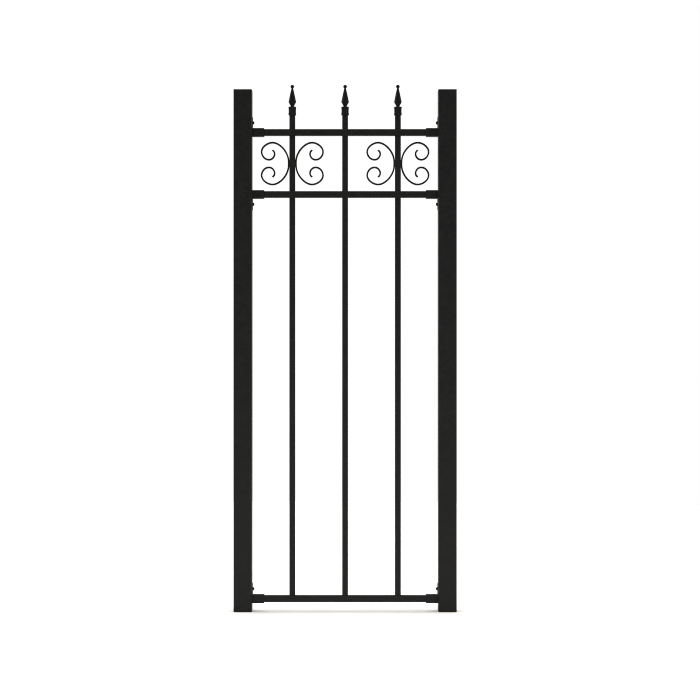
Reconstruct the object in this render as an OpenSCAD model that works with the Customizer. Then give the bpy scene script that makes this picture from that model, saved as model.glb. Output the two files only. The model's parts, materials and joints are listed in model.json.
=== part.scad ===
// Ornamental metal garden gate leaf.
// Two square uprights carry three rails in screwed sleeve brackets. Three
// pickets run through the rails and end in spear finials, and back-to-back
// C-scrolls sit on the two outer pickets between the middle and top rails.
// +X runs from the left upright to the right one, -Y is the front, +Z is up.
// The origin is midway between the uprights, level with their lower ends.

/* [Leaf] */
// Width over both uprights
leaf_w = 781; // [750:1:1000]
// Height of the uprights with their end plugs
leaf_h = 1829; // [1500:1:2100]
// Height of the bottom rail's centre above the lower ends
bottom_rail_z = 44; // [43:0.5:150]
// Drop from the upright's top to the top rail's centre
top_rail_drop = 148.5; // [80:0.5:200]
// Distance between the middle and top rails' centres
panel_pitch = 217.5; // [190:0.5:300]

/* [Uprights] */
// Side of the square tube
upright_w = 64; // [60:0.5:70]
// Wall of the square tube
upright_wall = 2; // [1.5:0.1:3]
// Outer corner radius of the square tube
upright_r = 3.5; // [3.5:0.1:6]
// Thickness of an end plug's flush plate
plug_plate_t = 3; // [2:0.5:6]
// Depth of an end plug's skirt inside the tube
plug_skirt = 16; // [10:1:30]

/* [Rails] */
// Height of the rail tube
rail_h = 22.2; // [20:0.1:24]
// Depth of the rail tube, front to back
rail_d = 28; // [26:0.1:30]
// Wall of the rail tube
rail_wall = 1.5; // [1.2:0.1:1.8]
// Outer corner radius of the rail tube
rail_r = 2; // [2:0.1:3]
// Room between a rail's end and the bracket flange
rail_end_gap = 2; // [1:0.5:5]

/* [Pickets] */
// Side of the square picket tube
picket_w = 20.2; // [18:0.1:20.4]
// Wall of the picket tube
picket_wall = 1.5; // [1.2:0.1:1.8]
// Outer corner radius of the picket tube
picket_r = 2; // [2:0.1:3]
// Distance between neighbouring picket centres
picket_pitch = 185.4; // [160:0.1:190]
// Room on each side of a picket in its punched rail hole
punch_gap = 0.2; // [0.1:0.05:0.4]

/* [Brackets] */
// Length of a bracket from the upright to the sleeve's mouth
bracket_l = 42.5; // [36:0.5:60]
// Wall of the sleeve
sleeve_wall = 3; // [2:0.1:3.5]
// Outer corner radius of the sleeve
sleeve_r = 1.5; // [0.5:0.1:2]
// Inner corner radius of the sleeve
sleeve_inner_r = 1; // [0.5:0.1:1.5]
// Room between the sleeve and the rail on each side
sleeve_gap = 0.25; // [0.1:0.05:0.4]
// Thickness of the flange against the upright
flange_t = 2; // [1.5:0.1:3]
// Length of the tab beyond the sleeve
tab_l = 40.5; // [30:0.5:60]
// Distance from the sleeve to the tab screw's axis
tab_screw_off = 20; // [12:0.5:25]
// Distance from the upright to the rail screw's axis
rail_screw_off = 28; // [15:0.5:30]

/* [Finials] */
// Height of the picket shoulder above the top rail's centre
shoulder_rise = 61.5; // [40:0.5:100]
// Side of the square collar
collar_w = 25; // [24.6:0.1:26]
// Side of the collar's two lips
lip_w = 26.4; // [26.2:0.1:28]
// Height of the collar up to its sloping top
collar_h = 27.5; // [26:0.5:40]
// Depth of the socket in the collar
socket_depth = 24; // [18:0.5:24]
// Widest diameter of the spear
spear_d = 27; // [24:0.1:30]
// Diameter of the ball on the tip
ball_d = 12.8; // [10:0.1:14]
// Height of the finial above the shoulder, ball included
finial_h = 106.5; // [100:0.5:120]

/* [Scrolls] */
// Thickness of the flat bar in the plane of the gate
bar_t = 5.6; // [4:0.1:6]
// Depth of the flat bar, front to back
bar_d = 12; // [10:0.1:16]

/* [Fasteners] */
// Head diameter of the domed bracket screws
dome_head_d = 12.6; // [10:0.1:14]
// Head height of the domed bracket screws
dome_head_h = 6.2; // [3:0.1:6.2]
// Shank diameter of the domed bracket screws
dome_shank_d = 6; // [5:0.1:7]
// Shank length of the domed bracket screws
dome_shank_l = 20; // [12:1:30]
// Head diameter of the pan-head screws at the back
pan_head_d = 8; // [7:0.1:9]
// Head height of the pan-head screws at the back
pan_head_h = 2.6; // [2:0.1:3]
// Shank diameter of the pan-head screws at the back
pan_shank_d = 4.2; // [3.5:0.1:5]
// Shank length of the pan-head screws at the back
pan_shank_l = 10; // [8:0.5:12]
// Shank diameter of the scroll rivets
rivet_d = 5; // [4:0.1:5.5]
// Flush head diameter of the scroll rivets
rivet_head_d = 8.4; // [7.5:0.1:9]
// Diameter of the set screws in the finial collars
set_screw_d = 5; // [4:0.1:6]
// Length of the set screws in the finial collars
set_screw_l = 5; // [4:0.5:8]

/* [Hidden] */
$fn = 48;

// Clearance that keeps a cutting shape clear of the face it starts from
eps = 1;

// Uprights
inner_x = leaf_w / 2 - upright_w;
upright_x = (leaf_w - upright_w) / 2;
plug_fit = 0.2;
plug_wall = 2;

// Rails, as centre heights
top_rail_z = leaf_h - top_rail_drop;
middle_rail_z = top_rail_z - panel_pitch;
rail_l = 2 * (inner_x - flange_t - rail_end_gap);
rail_heights = [bottom_rail_z, middle_rail_z, top_rail_z];

// Brackets: the middle rail's tabs point down and the others point up
sleeve_h = rail_h + 2 * (sleeve_gap + sleeve_wall);
sleeve_d = rail_d + 2 * (sleeve_gap + sleeve_wall);
tab_signs = [1, -1, 1];
tab_screw_z = sleeve_h / 2 + tab_screw_off;
tab_corner_r = 9;

// Pickets, which stand just clear of the bottom rail's lower wall and the sockets' roofs
shoulder_z = top_rail_z + shoulder_rise;
picket_foot_gap = 0.5;
picket_top_gap = 1;
picket_foot_z = bottom_rail_z - rail_h / 2 + rail_wall + picket_foot_gap;
picket_top_z = shoulder_z + socket_depth - picket_top_gap;

// Punched holes, as the height above a rail's centre where the punch starts
punch_w = picket_w + 2 * punch_gap;
punch_through = -rail_h;
punch_top_wall = 0;

// Finials, as heights above the shoulder; the neck meets the ball at neck_sink
// of the ball's radius below its centre
lip_h = 5;
lip_slope = 1.5;
collar_roof_h = 3;
socket_gap = 0.2;
spear_foot_h = collar_h + collar_roof_h;
spear_foot_r = 5.2;
spear_wide_h = collar_h + 18;
spear_neck_r = 3.1;
ball_h = finial_h - ball_d / 2;
neck_sink = 0.85;
spear_neck_h = ball_h - neck_sink * ball_d / 2;
spear_bulge = 0.2;
spear_steps = 12;
set_screw_h = collar_h / 2;

// Scrolls: the upper half of the bar's centreline as [x, z] away from the
// middle of its contact with the picket, from the end of the short flat that
// is riveted to the picket. Each knot also has its heading in degrees and the
// reach of the curve's handles before and after it.
scroll_z = (top_rail_z + middle_rail_z) / 2;
scroll_flat = 5;
scroll_knots = [
    [[0, scroll_flat], 90, 0, 36],
    [[56.5, 73.5], 0, 25, 17],
    [[95, 41], -90, 18, 11],
    [[69, 13.5], -180, 17, 13],
    [[49.2, 33], -270, 7, 9.5],
    [[56.4, 47.5], -300, 3, 0]
];
scroll_steps = 18;

// Fasteners
rivet_grip = picket_w + 2 * bar_t;
rivet_sink = 1.7;
hex_key_ratio = 0.32;
hex_depth_ratio = 0.5;

function heading(deg) = [cos(deg), sin(deg)];
function bezier(a, b, c, d, t) =
    pow(1 - t, 3) * a + 3 * t * pow(1 - t, 2) * b + 3 * t * t * (1 - t) * c + pow(t, 3) * d;
function bezier_slope(a, b, c, d, t) =
    pow(1 - t, 2) * (b - a) + 2 * t * (1 - t) * (c - b) + t * t * (d - c);
function unit(v) = v / norm(v);
function left_of(v) = [-v.y, v.x];

// Places along the upper half of the scroll, each a point and a heading
function scroll_upper() = [
    for (i = [0:len(scroll_knots) - 2])
        let (from = scroll_knots[i], to = scroll_knots[i + 1])
        let (b = from[0] + from[3] * heading(from[1]))
        let (c = to[0] - to[2] * heading(to[1]))
        for (j = [(i == 0 ? 0 : 1):scroll_steps])
            let (t = j / scroll_steps)
            [bezier(from[0], b, c, to[0], t), unit(bezier_slope(from[0], b, c, to[0], t))]
];

// The whole centreline: the upper half mirrored down and walked backwards, then upwards
function scroll_line() =
    let (up = scroll_upper())
    let (last = len(up) - 1)
    concat(
        [for (i = [last:-1:0]) [[up[i][0].x, -up[i][0].y], [-up[i][1].x, up[i][1].y]]],
        up
    );

// Half the spear's outline: a slightly bulged taper from its widest ring to the neck
function spear_taper() = [
    for (i = [0:spear_steps])
        let (t = i / spear_steps)
        [
            spear_d / 2 + t * (spear_neck_r - spear_d / 2) + spear_bulge * sin(180 * t),
            spear_wide_h + t * (spear_neck_h - spear_wide_h)
        ]
];

module rounded_section(w, d, r) {
    square([w - 2 * r, d], center = true);
    square([w, d - 2 * r], center = true);
    for (x = [-1, 1], y = [-1, 1])
        translate([x * (w / 2 - r), y * (d / 2 - r)])
            circle(r);
}

module tube_section(w, d, wall, r, inner_r) {
    difference() {
        rounded_section(w, d, r);
        rounded_section(w - 2 * wall, d - 2 * wall, inner_r);
    }
}

// Turns an upright extrusion so that its length runs along X
module along_x() {
    rotate([90, 0, 90])
        children();
}

// Turns a shape that points along +Z so that it points along +Y
module facing_back() {
    rotate([-90, 0, 0])
        children();
}

// Screw with its domed head's flat face at z = 0 and its pointed shank below
module screw(head_d, head_h, shank_d, shank_l) {
    dome_r = (pow(head_d / 2, 2) + pow(head_h, 2)) / (2 * head_h);
    tip_d = shank_d / 4;
    tip_l = shank_d / 2;
    difference() {
        union() {
            intersection() {
                translate([0, 0, head_h - dome_r])
                    sphere(dome_r);
                cylinder(d = head_d, h = head_h);
            }
            translate([0, 0, -shank_l + tip_l])
                cylinder(d = shank_d, h = shank_l - tip_l);
            translate([0, 0, -shank_l])
                cylinder(d1 = tip_d, d2 = shank_d, h = tip_l);
        }
        translate([0, 0, head_h * (1 - hex_depth_ratio)])
            cylinder(d = head_d * hex_key_ratio, h = head_h, $fn = 6);
    }
}

module upright(side) {
    color([0.13, 0.13, 0.13])
    difference() {
        translate([side * upright_x, 0, plug_plate_t])
            linear_extrude(leaf_h - 2 * plug_plate_t)
                tube_section(upright_w, upright_w, upright_wall, upright_r, upright_r - upright_wall);
        for (i = [0:2])
            translate([side * inner_x, 0, rail_heights[i] + tab_signs[i] * tab_screw_z])
                rotate([0, side * 90, 0])
                    translate([0, 0, -eps])
                        cylinder(d = dome_shank_d, h = upright_wall + 2 * eps);
    }
}

// End plug standing on its flush plate, with its skirt pointing up
module plug() {
    skirt_w = upright_w - 2 * upright_wall - 2 * plug_fit;
    skirt_r = upright_r - upright_wall;
    linear_extrude(plug_plate_t)
        rounded_section(upright_w, upright_w, upright_r);
    translate([0, 0, plug_plate_t])
        linear_extrude(plug_skirt)
            tube_section(skirt_w, skirt_w, plug_wall, skirt_r, skirt_r);
}

module bottom_plug(side) {
    color([0.13, 0.13, 0.13])
    translate([side * upright_x, 0, 0])
        plug();
}

module top_plug(side) {
    color([0.13, 0.13, 0.13])
    translate([side * upright_x, 0, leaf_h])
        rotate([180, 0, 0])
            plug();
}

// Rail tube, punched for the pickets from the given height above its centre upwards
module rail(z, punch_from) {
    color([0.14, 0.14, 0.14])
    translate([0, 0, z])
        difference() {
            along_x()
                linear_extrude(rail_l, center = true)
                    tube_section(rail_d, rail_h, rail_wall, rail_r, rail_r - rail_wall);
            for (i = [-1:1])
                translate([i * picket_pitch, 0, punch_from])
                    linear_extrude(rail_h - punch_from)
                        rounded_section(punch_w, punch_w, picket_r);
            for (x = concat([for (i = [-1:1]) i * picket_pitch], rail_screw_x()))
                translate([x, 0, 0])
                    facing_back()
                        cylinder(d = pan_shank_d, h = rail_d);
        }
}

function rail_screw_x() = [-(inner_x - rail_screw_off), inner_x - rail_screw_off];

module picket(x) {
    color([0.15, 0.15, 0.15])
    translate([x, 0, 0])
        difference() {
            translate([0, 0, picket_foot_z])
                linear_extrude(picket_top_z - picket_foot_z)
                    tube_section(picket_w, picket_w, picket_wall, picket_r, picket_r - picket_wall);
            for (z = rail_heights)
                translate([0, 0, z])
                    facing_back()
                        cylinder(d = pan_shank_d, h = picket_w);
            translate([0, 0, shoulder_z + set_screw_h])
                facing_back()
                    cylinder(d = set_screw_d, h = picket_w);
            if (x != 0)
                translate([0, 0, scroll_z])
                    along_x()
                        cylinder(d = rivet_d, h = picket_w + eps, center = true);
        }
}

// Square collar: one outline seen from the front and from the side, then crossed
module collar() {
    intersection_for (turn = [0, 90])
        rotate([90, 0, turn])
            linear_extrude(2 * lip_w, center = true)
                for (side = [0, 1])
                    mirror([side, 0])
                        polygon([
                            [0, 0],
                            [lip_w / 2, 0],
                            [lip_w / 2, lip_h],
                            [collar_w / 2, lip_h + lip_slope],
                            [collar_w / 2, collar_h - lip_h - lip_slope],
                            [lip_w / 2, collar_h - lip_h],
                            [lip_w / 2, collar_h],
                            [spear_foot_r, spear_foot_h],
                            [0, spear_foot_h]
                        ]);
}

module finial(x) {
    color([0.12, 0.12, 0.12])
    translate([x, 0, shoulder_z])
        difference() {
            union() {
                collar();
                rotate_extrude()
                    polygon(concat(
                        [[0, collar_h], [spear_foot_r, collar_h], [spear_foot_r, spear_foot_h]],
                        spear_taper(),
                        [[spear_neck_r, ball_h], [0, ball_h]]
                    ));
                translate([0, 0, ball_h])
                    sphere(d = ball_d);
            }
            translate([0, 0, -eps])
                linear_extrude(socket_depth + eps)
                    rounded_section(picket_w + 2 * socket_gap, picket_w + 2 * socket_gap, picket_r);
            translate([0, 0, set_screw_h])
                facing_back()
                    cylinder(d = set_screw_d, h = collar_w);
        }
}

// C-scroll of flat bar on a picket; side is +1 where it opens towards +X
module scroll(x, side) {
    line = scroll_line();
    color([0.14, 0.14, 0.14])
    translate([x, 0, scroll_z])
        mirror([side < 0 ? 1 : 0, 0, 0])
            difference() {
                translate([(picket_w + bar_t) / 2, 0, 0])
                    rotate([90, 0, 0])
                        linear_extrude(bar_d, center = true)
                            polygon(concat(
                                [for (i = [0:len(line) - 1]) line[i][0] + bar_t / 2 * left_of(line[i][1])],
                                [for (i = [len(line) - 1:-1:0]) line[i][0] - bar_t / 2 * left_of(line[i][1])]
                            ));
                along_x()
                    rivet();
            }
}

// Sleeve bracket against an upright: the flange at x = 0, the sleeve towards +X, the tab up
module sleeve_bracket() {
    difference() {
        union() {
            translate([flange_t, 0, 0])
                along_x()
                    linear_extrude(bracket_l - flange_t)
                        tube_section(sleeve_d, sleeve_h, sleeve_wall, sleeve_r, sleeve_inner_r);
            along_x()
                linear_extrude(flange_t) {
                    rounded_section(sleeve_d, sleeve_h, sleeve_r);
                    translate([0, tab_l / 2])
                        rounded_section(sleeve_d, sleeve_h + tab_l, tab_corner_r);
                }
        }
        translate([-eps, 0, tab_screw_z])
            along_x()
                cylinder(d = dome_shank_d, h = flange_t + 2 * eps);
        translate([rail_screw_off, 0, 0])
            facing_back()
                cylinder(d = pan_shank_d, h = sleeve_d);
    }
}

module bracket(side, i) {
    color([0.14, 0.14, 0.14])
    translate([side * inner_x, 0, rail_heights[i]])
        mirror([side > 0 ? 1 : 0, 0, 0])
            mirror([0, 0, tab_signs[i] < 0 ? 1 : 0])
                sleeve_bracket();
}

// Rivet through both scrolls and the picket between them, flush at both ends
module rivet() {
    cylinder(d = rivet_d, h = rivet_grip, center = true);
    for (end = [0, 1])
        mirror([0, 0, end])
            translate([0, 0, rivet_grip / 2 - rivet_sink])
                cylinder(d1 = rivet_d, d2 = rivet_head_d, h = rivet_sink);
}

module bracket_screws() {
    color([0.1, 0.1, 0.1])
    for (side = [-1, 1], i = [0:2])
        translate([
            side * (inner_x - flange_t),
            0,
            rail_heights[i] + tab_signs[i] * tab_screw_z
        ])
            rotate([0, -side * 90, 0])
                screw(dome_head_d, dome_head_h, dome_shank_d, dome_shank_l);
}

module rail_screws() {
    color([0.1, 0.1, 0.1])
    for (x = rail_screw_x(), z = rail_heights)
        translate([x, sleeve_d / 2, z])
            facing_back()
                screw(pan_head_d, pan_head_h, pan_shank_d, pan_shank_l);
}

module picket_screws() {
    color([0.1, 0.1, 0.1])
    for (i = [-1:1], z = rail_heights)
        translate([i * picket_pitch, rail_d / 2, z])
            facing_back()
                screw(pan_head_d, pan_head_h, pan_shank_d, pan_shank_l);
}

module scroll_rivets() {
    color([0.1, 0.1, 0.1])
    for (side = [-1, 1])
        translate([side * picket_pitch, 0, scroll_z])
            along_x()
                rivet();
}

module finial_set_screws() {
    color([0.1, 0.1, 0.1])
    for (i = [-1:1])
        translate([i * picket_pitch, collar_w / 2, shoulder_z + set_screw_h])
            facing_back()
                difference() {
                    translate([0, 0, -set_screw_l])
                        cylinder(d = set_screw_d, h = set_screw_l);
                    translate([0, 0, -set_screw_l / 2])
                        cylinder(d = set_screw_d / 2, h = set_screw_l, $fn = 6);
                }
}

upright(-1);  // upright_left
upright(1);  // upright_right
top_plug(-1);  // top_plug_left
top_plug(1);  // top_plug_right
bottom_plug(-1);  // bottom_plug_left
bottom_plug(1);  // bottom_plug_right
rail(top_rail_z, punch_through);  // top_rail
rail(middle_rail_z, punch_through);  // middle_rail
rail(bottom_rail_z, punch_top_wall);  // bottom_rail
picket(-picket_pitch);  // picket_left
picket(0);  // picket_centre
picket(picket_pitch);  // picket_right
finial(-picket_pitch);  // finial_left
finial(0);  // finial_centre
finial(picket_pitch);  // finial_right
scroll(-picket_pitch, -1);  // scroll_left_outer
scroll(-picket_pitch, 1);  // scroll_left_inner
scroll(picket_pitch, -1);  // scroll_right_inner
scroll(picket_pitch, 1);  // scroll_right_outer
bracket(-1, 2);  // bracket_top_left
bracket(1, 2);  // bracket_top_right
bracket(-1, 1);  // bracket_middle_left
bracket(1, 1);  // bracket_middle_right
bracket(-1, 0);  // bracket_bottom_left
bracket(1, 0);  // bracket_bottom_right
bracket_screws();
rail_screws();
picket_screws();
scroll_rivets();
finial_set_screws();
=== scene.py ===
# Ornamental metal garden gate leaf in satin black powder coat.
# Each CAD node is shown by a copy of its own shape, with rounded outer edges and a coat.
import json
import math
from collections import Counter

import bmesh
import bpy
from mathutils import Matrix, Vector


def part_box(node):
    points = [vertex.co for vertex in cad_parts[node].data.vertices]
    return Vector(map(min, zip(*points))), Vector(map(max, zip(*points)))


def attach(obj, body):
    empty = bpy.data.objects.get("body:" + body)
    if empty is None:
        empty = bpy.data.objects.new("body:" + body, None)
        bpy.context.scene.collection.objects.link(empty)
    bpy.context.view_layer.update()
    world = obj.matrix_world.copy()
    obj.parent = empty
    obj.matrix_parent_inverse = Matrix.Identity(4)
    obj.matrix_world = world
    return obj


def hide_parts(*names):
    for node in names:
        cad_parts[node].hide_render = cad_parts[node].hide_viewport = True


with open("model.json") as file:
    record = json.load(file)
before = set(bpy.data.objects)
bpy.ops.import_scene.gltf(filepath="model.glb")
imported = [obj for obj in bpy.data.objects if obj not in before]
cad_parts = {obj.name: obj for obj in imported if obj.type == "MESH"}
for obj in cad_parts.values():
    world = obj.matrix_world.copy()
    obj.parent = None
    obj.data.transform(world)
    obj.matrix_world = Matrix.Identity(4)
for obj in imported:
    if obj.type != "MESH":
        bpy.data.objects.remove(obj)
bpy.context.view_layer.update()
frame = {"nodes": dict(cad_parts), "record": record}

MM = 0.001
SLOT_OF = {entry["node"]: entry["material_slot"] for entry in frame["record"]["subparts"]}


# ---------------------------------------------------------------- materials

# A bevel node's normal against the face's own: the cosines on a flat face and on a round edge
FLAT_COSINE = 0.995
ROUND_COSINE = 0.90
# The upward part of a normal at which a face starts to gather dust
DUST_SLOPE = 0.6


class Graph:
    """A material's nodes, with short names for the few kinds that the coats need."""

    # A colour mix node has several sockets called A, B and Result; these are the ones for colours
    MIX_A = 6
    MIX_B = 7
    MIX_RESULT = 2

    def __init__(self, name):
        self.material = bpy.data.materials.new(name)
        self.material.use_nodes = True
        self.nodes = self.material.node_tree.nodes
        self.shader = self.nodes["Principled BSDF"]
        self.place = self.nodes.new("ShaderNodeTexCoord").outputs["Object"]

    def link(self, output, target):
        self.material.node_tree.links.new(output, target)

    def feed(self, socket, value):
        if isinstance(value, bpy.types.NodeSocket):
            self.link(value, socket)
        else:
            socket.default_value = value

    def noise(self, per_metre, detail, roughness=0.5):
        node = self.nodes.new("ShaderNodeTexNoise")
        node.inputs["Scale"].default_value = per_metre
        node.inputs["Detail"].default_value = detail
        node.inputs["Roughness"].default_value = roughness
        self.link(self.place, node.inputs["Vector"])
        return node.outputs["Fac"]

    def remap(self, value, low, high, to_low=0.0, to_high=1.0):
        node = self.nodes.new("ShaderNodeMapRange")
        node.interpolation_type = "SMOOTHSTEP"
        limits = {"From Min": low, "From Max": high, "To Min": to_low, "To Max": to_high}
        for name, number in limits.items():
            node.inputs[name].default_value = number
        self.link(value, node.inputs["Value"])
        return node.outputs["Result"]

    def maths(self, operation, a, b, c=None):
        node = self.nodes.new("ShaderNodeMath")
        node.operation = operation
        for socket, value in zip(node.inputs, (a, b, c)):
            if value is not None:
                self.feed(socket, value)
        return node.outputs["Value"]

    def mix(self, factor, a, b, blend="MIX"):
        node = self.nodes.new("ShaderNodeMix")
        node.data_type = "RGBA"
        node.blend_type = blend
        self.feed(node.inputs["Factor"], factor)
        for socket, value in ((node.inputs[self.MIX_A], a), (node.inputs[self.MIX_B], b)):
            self.feed(socket, (*value, 1.0) if isinstance(value, tuple) else value)
        return node.outputs[self.MIX_RESULT]

    def height_of(self, vector):
        node = self.nodes.new("ShaderNodeSeparateXYZ")
        self.link(vector, node.inputs["Vector"])
        return node.outputs["Z"]

    def edges(self, radius):
        """0 on flat faces, rising to 1 on outer and inner edges."""
        bevel = self.nodes.new("ShaderNodeBevel")
        bevel.samples = 4
        bevel.inputs["Radius"].default_value = radius
        dot = self.nodes.new("ShaderNodeVectorMath")
        dot.operation = "DOT_PRODUCT"
        self.link(bevel.outputs["Normal"], dot.inputs[0])
        self.link(self.nodes.new("ShaderNodeNewGeometry").outputs["Normal"], dot.inputs[1])
        return self.remap(dot.outputs["Value"], FLAT_COSINE, ROUND_COSINE)

    def upward(self):
        """1 where a face looks straight up, 0 on walls and undersides."""
        normal = self.nodes.new("ShaderNodeNewGeometry").outputs["Normal"]
        return self.remap(self.height_of(normal), DUST_SLOPE, 1.0)

    def above(self, height):
        """0 below a height, 1 above it."""
        return self.remap(self.height_of(self.place), height - MM, height + MM)

    def bump(self, height, metres):
        node = self.nodes.new("ShaderNodeBump")
        node.inputs["Strength"].default_value = 1.0
        node.inputs["Distance"].default_value = metres
        self.link(height, node.inputs["Height"])
        self.link(node.outputs["Normal"], self.shader.inputs["Normal"])


# How fine the coat's patterns are, in spots per metre
CLOUDS = 5.0
MOTTLING = 45.0
DUST_SPOTS = 130.0
ORANGE_PEEL = 620.0
GRIT = 2200.0
# The noise values between which a pattern fades in; a noise seldom leaves WHOLE_NOISE
WHOLE_NOISE = (0.3, 0.7)
MOTTLE_FADE = (0.35, 0.65)
WEAR_FADE = (0.40, 0.62)
DUST_FADE = (0.38, 0.72)

BLACK = (0.0128, 0.0127, 0.0124)
FASTENER_BLACK = (0.0065, 0.0065, 0.0065)
WORN = (0.026, 0.025, 0.024)
DUST = (0.085, 0.080, 0.072)
# What the coat's colour is multiplied by in the mottling's light and dark spots, and on the spears,
# where the darkening is painted shade
LIGHT_SPOT = 1.15
DARK_SPOT = 0.93
SPEAR_PAINTED_SHADE = (0.42, 0.42, 0.42)

# How strong the clouds and the dust get, and how little worn an edge can be
MOST_CLOUD = 0.5
MOST_DUST = 0.30
LEAST_WORN = 0.25

# What the mottling, grit, wear and dust add to the coat's roughness
MOTTLED_ROUGHER = 0.05
GRIT_ROUGHER = 0.03
WORN_ROUGHER = -0.10
DUST_ROUGHER = 0.25
# The grit's height as a share of the orange peel's
GRIT_SHARE = 0.3
COAT_IOR = 1.45


def powder_coat(
    name,
    rough,
    black=BLACK,
    gloss=0.18,
    peel=0.06,
    lump=0.0,
    lump_per_metre=90,
    edge_radius=1.2 * MM,
    painted_shade_from=None,
):
    """Satin black powder coat.

    It has soft mottling, fine orange peel, a thinner and shinier film on edges, and a trace of dust on
    top faces. peel and lump are heights in millimetres, lump being the uneven skin of a casting or a
    forged bar. Above the height given last, the colour is multiplied darker as painted shade.
    """
    g = Graph(name)
    cloud = g.noise(CLOUDS, detail=3.0)
    mottle = g.noise(MOTTLING, detail=4.0, roughness=0.6)
    peel_noise = g.noise(ORANGE_PEEL, detail=2.0)
    grit = g.noise(GRIT, detail=2.0, roughness=0.7)
    dust_spots = g.noise(DUST_SPOTS, detail=5.0, roughness=0.65)

    light = tuple(LIGHT_SPOT * c for c in black)
    dark = tuple(DARK_SPOT * c for c in black)
    tint = g.mix(g.remap(mottle, *MOTTLE_FADE), dark, light)
    tint = g.mix(g.remap(cloud, *WHOLE_NOISE, 0.0, MOST_CLOUD), tint, black)
    worn = g.maths("MULTIPLY", g.edges(edge_radius), g.remap(mottle, *WEAR_FADE, LEAST_WORN, 1.0))
    tint = g.mix(worn, tint, WORN)
    dust = g.maths("MULTIPLY", g.upward(), g.remap(dust_spots, *DUST_FADE, 0.0, MOST_DUST))
    tint = g.mix(dust, tint, DUST)
    # painted shade: above this height the spear's colour is multiplied darker
    if painted_shade_from:
        tint = g.mix(g.above(painted_shade_from), tint, SPEAR_PAINTED_SHADE, "MULTIPLY")
    g.link(tint, g.shader.inputs["Base Color"])

    spread = g.remap(mottle, *WHOLE_NOISE, rough - MOTTLED_ROUGHER, rough + MOTTLED_ROUGHER)
    grit_swing = g.remap(grit, *WHOLE_NOISE, -1.0, 1.0)
    for amount, rougher in ((grit_swing, GRIT_ROUGHER), (worn, WORN_ROUGHER), (dust, DUST_ROUGHER)):
        spread = g.maths("MULTIPLY_ADD", amount, rougher, spread)
    g.link(spread, g.shader.inputs["Roughness"])
    g.shader.inputs["Metallic"].default_value = 0.0
    g.shader.inputs["IOR"].default_value = COAT_IOR
    g.shader.inputs["Specular IOR Level"].default_value = gloss

    height = g.maths("MULTIPLY_ADD", peel_noise, peel, g.maths("MULTIPLY", grit, GRIT_SHARE * peel))
    if lump:
        lumps = g.noise(lump_per_metre, detail=3.0, roughness=0.55)
        height = g.maths("MULTIPLY_ADD", lumps, lump, height)
    g.bump(height, MM)
    return g.material


# Painted shade on a finial: from the collar's sloping top, where the spear starts, its colour is drawn
# darker
COLLAR_HEIGHT = 29 * MM
SPEAR_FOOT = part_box("finial_centre")[0].z + COLLAR_HEIGHT

SATIN = 0.49
LOOKS = {
    "tube_coat": {"rough": SATIN},
    "plug_coat": {"rough": SATIN, "lump": 0.05},
    "casting_coat": {"rough": 0.53, "gloss": 0.12, "peel": 0.07, "lump": 0.12, "painted_shade_from": SPEAR_FOOT},
    "bar_coat": {"rough": SATIN, "lump": 0.14, "lump_per_metre": 70},
    "bracket_coat": {"rough": SATIN, "lump": 0.08},
    "fastener_black": {"rough": 0.38, "black": FASTENER_BLACK, "peel": 0.02, "edge_radius": 0.6 * MM},
}
COATS = {slot: powder_coat(slot, **look) for slot, look in LOOKS.items()}


# ------------------------------------------------------------------- pieces

# How wide the outer edges are rounded
ROUNDING = {
    "tube_coat": 0.45 * MM,
    "plug_coat": 0.6 * MM,
    "casting_coat": 0.9 * MM,
    "bar_coat": 0.5 * MM,
    "bracket_coat": 0.6 * MM,
    "fastener_black": 0.25 * MM,
}
# Points nearer than SAME_PLACE are merged, and after the rounding edges under SLIVER are removed
SAME_PLACE = 0.001 * MM
SLIVER = 0.004 * MM
# Faces that meet at less than FLAT are one face, and an edge over SHARP is rounded
FLAT = math.radians(0.3)
SHARP = math.radians(28)


def outer_edges(bm):
    return [edge for edge in bm.edges if edge.is_convex and edge.calc_face_angle(0) > SHARP]


def clear_corners(bm, width):
    """Moves each point that is nearer to a corner than the rounding's width into that corner."""
    meeting = Counter(vert for edge in outer_edges(bm) for vert in edge.verts)
    corners = [vert for vert, count in meeting.items() if count > 2]
    moved = {}
    for corner in corners:
        for edge in corner.link_edges:
            near = edge.other_vert(corner)
            on_plain_edge = meeting[near] == 2 and len(near.link_edges) == 3
            if on_plain_edge and edge.calc_length() < width:
                moved[near] = corner
    bmesh.ops.weld_verts(bm, targetmap=moved)


def round_edges(mesh, width):
    bm = bmesh.new()
    bm.from_mesh(mesh)
    bmesh.ops.remove_doubles(bm, verts=bm.verts, dist=SAME_PLACE)
    bmesh.ops.dissolve_limit(bm, angle_limit=FLAT, verts=bm.verts, edges=bm.edges)
    clear_corners(bm, width)
    bmesh.ops.bevel(
        bm,
        geom=outer_edges(bm),
        offset=width,
        segments=3,
        profile=0.5,
        affect="EDGES",
        clamp_overlap=False,
    )
    bmesh.ops.dissolve_degenerate(bm, dist=SLIVER, edges=bm.edges)
    for face in bm.faces:
        face.smooth = True
    bm.to_mesh(mesh)
    bm.free()


def soften(node):
    """Shows a CAD node by a coated copy of its shape with its outer edges rounded."""
    slot = SLOT_OF[node]
    mesh = frame["nodes"][node].data.copy()
    round_edges(mesh, ROUNDING[slot])
    mesh.materials.clear()
    mesh.materials.append(COATS[slot])

    piece = bpy.data.objects.new(node + "_coated", mesh)
    bpy.context.scene.collection.objects.link(piece)
    normals = piece.modifiers.new("flat_faces", "WEIGHTED_NORMAL")
    normals.mode = "FACE_AREA"
    normals.weight = 100
    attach(piece, "root")
    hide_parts(node)


for node in sorted(frame["nodes"]):
    soften(node)


# -------------------------------------------------------------------- stage

WHITE = (1.0, 1.0, 1.0, 1.0)
# The surround's strength as a light; the camera sees it as plain white
AMBIENT = 0.07
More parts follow.
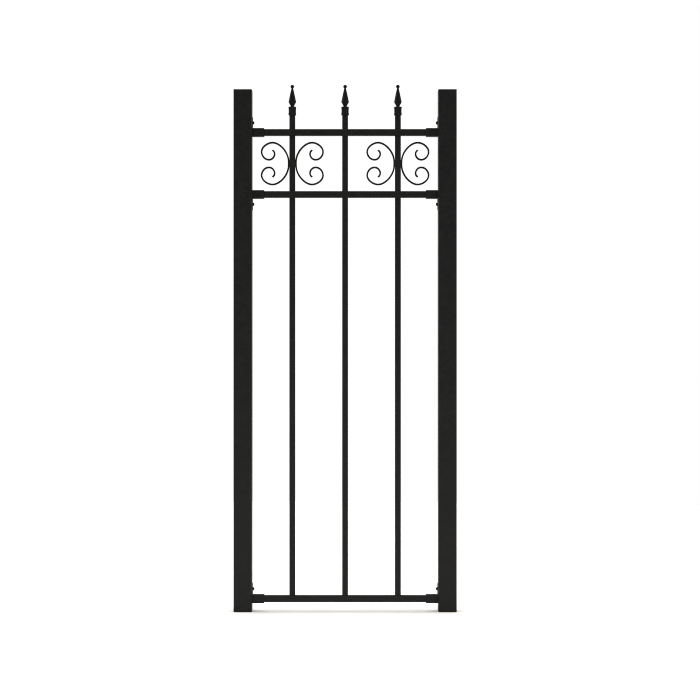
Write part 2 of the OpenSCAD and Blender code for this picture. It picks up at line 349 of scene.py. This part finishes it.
# A larger floor shows as a brighter streak in the rails' undersides
FLOOR_RADIUS = 5
FLOOR_SIDES = 96
FLOOR_COLOUR = (0.92, 0.905, 0.865, 1.0)
FLOOR_ROUGHNESS = 0.9


def make_floor():
    bm = bmesh.new()
    bmesh.ops.create_circle(bm, cap_ends=True, radius=FLOOR_RADIUS, segments=FLOOR_SIDES)
    mesh = bpy.data.meshes.new("studio_floor")
    bm.to_mesh(mesh)
    bm.free()
    floor = bpy.data.objects.new("studio_floor", mesh)
    bpy.context.scene.collection.objects.link(floor)
    g = Graph("studio_floor")
    g.shader.inputs["Base Color"].default_value = FLOOR_COLOUR
    g.shader.inputs["Roughness"].default_value = FLOOR_ROUGHNESS
    g.shader.inputs["Specular IOR Level"].default_value = 0.0
    mesh.materials.append(g.material)


def make_light(name, towards, spread, energy):
    """A soft light from very far away, which lies in the given direction from the gate."""
    data = bpy.data.lights.new(name, "SUN")
    data.angle = math.radians(spread)
    data.energy = energy
    light = bpy.data.objects.new(name, data)
    light.rotation_mode = "QUATERNION"
    light.rotation_quaternion = Vector(towards).to_track_quat("Z", "Y")
    bpy.context.scene.collection.objects.link(light)


def make_world():
    """A surround that the camera sees as plain white, and that adds a little light from all sides."""
    world = bpy.data.worlds.new("studio")
    world.use_nodes = True
    bpy.context.scene.world = world
    nodes, links = world.node_tree.nodes, world.node_tree.links
    seen = nodes["Background"]
    seen.inputs["Color"].default_value = WHITE
    lit = nodes.new("ShaderNodeBackground")
    lit.inputs["Color"].default_value = WHITE
    lit.inputs["Strength"].default_value = AMBIENT
    mix = nodes.new("ShaderNodeMixShader")
    links.new(nodes.new("ShaderNodeLightPath").outputs["Is Camera Ray"], mix.inputs["Fac"])
    links.new(lit.outputs[0], mix.inputs[1])
    links.new(seen.outputs[0], mix.inputs[2])
    links.new(mix.outputs[0], nodes["World Output"].inputs["Surface"])


# The picture is VIEW_WIDTH metres wide at the gate
CAMERA_DISTANCE = 6.9
VIEW_WIDTH = 2.459
ABOVE_MIDDLE = 2.5 * MM
SHIFT = 0.0070
SENSOR = 36.0
CLIP_END = 200


def make_camera():
    """Straight on at mid height, with the gate a hair left of the picture's middle."""
    data = bpy.data.cameras.new("camera")
    data.sensor_width = SENSOR
    data.lens = SENSOR * CAMERA_DISTANCE / VIEW_WIDTH
    data.shift_x = SHIFT
    data.clip_end = CLIP_END
    camera = bpy.data.objects.new("camera", data)
    upright_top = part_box("top_plug_left")[1].z
    camera.location = (0, -CAMERA_DISTANCE, upright_top / 2 + ABOVE_MIDDLE)
    camera.rotation_euler = (math.radians(90), 0, 0)
    bpy.context.scene.collection.objects.link(camera)
    bpy.context.scene.camera = camera


make_floor()
make_light("overhead", (0, 0, 1), spread=110, energy=3.4)
make_light("left_rim", (-0.9, 0.4, 0.1), spread=90, energy=2.8)
make_light("right_rim", (0.9, 0.4, 0.1), spread=90, energy=1.7)
make_world()
make_camera()
bpy.context.scene.view_settings.view_transform = "Standard"
bpy.context.scene.cycles.filter_width = 1.0
